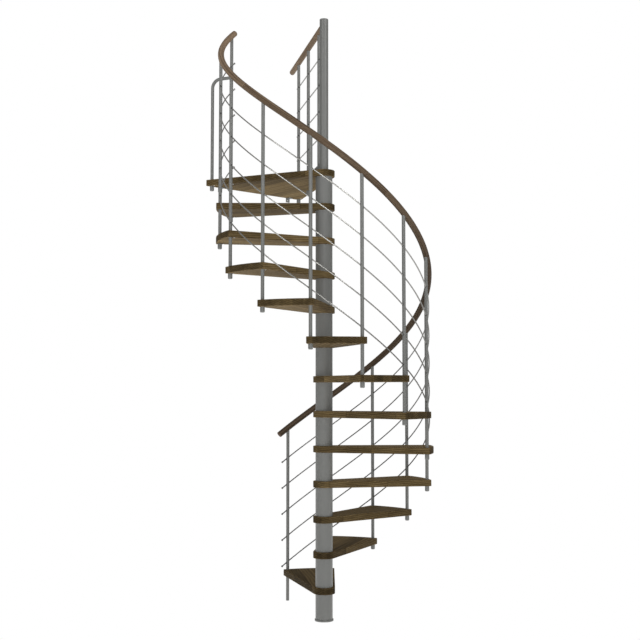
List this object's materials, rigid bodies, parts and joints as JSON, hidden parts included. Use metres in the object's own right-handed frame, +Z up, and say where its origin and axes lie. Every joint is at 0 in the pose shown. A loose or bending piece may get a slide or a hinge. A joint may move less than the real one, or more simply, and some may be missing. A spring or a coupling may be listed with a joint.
{
  "type": "spiral staircase",
  "caption": "Spiral staircase with wooden treads on a centre post, a wedge landing, tube balusters, steel rods and a wooden handrail.",
  "frame": {"origin": "centre of the foot plate's underside, on the floor and on the post's axis", "axes": "+Z up along the post; -Y is the side the stair is usually seen from, and the stair climbs clockwise seen from above"},
  "size_m": [1.5043, 1.7424, 3.9254],
  "materials": {
    "paint": "satin grey powder coat",
    "tread_wood": "satin lacquer, dark walnut stain",
    "rail_wood": "satin lacquer, walnut stain",
    "steel": "bright satin"
  },
  "bodies": {
    "root": {"foot_plate": "paint", "centre_post": "paint", "post_cap": "paint", "column_spacers": "paint", "tread_01": "tread_wood", "tread_02": "tread_wood", "tread_03": "tread_wood", "tread_04": "tread_wood", "tread_05": "tread_wood", "tread_06": "tread_wood", "tread_07": "tread_wood", "tread_08": "tread_wood", "tread_09": "tread_wood", "tread_10": "tread_wood", "tread_11": "tread_wood", "tread_12": "tread_wood", "landing": "tread_wood", "landing_gusset": "paint", "landing_brackets": "paint", "stair_balusters": "paint", "landing_balusters": "paint", "landing_hoop": "paint", "baluster_end_caps": "paint", "first_baluster_foot": "paint", "handrail_1": "rail_wood", "handrail_2": "rail_wood", "handrail_3": "rail_wood", "handrail_4": "rail_wood", "landing_rail": "rail_wood", "rail_end_caps": "rail_wood", "stair_rod_1": "steel", "stair_rod_2": "steel", "stair_rod_3": "steel", "stair_rod_4": "steel", "stair_rod_5": "steel", "landing_rods": "steel", "rod_end_caps": "steel"}
  },
  "joints": []
}
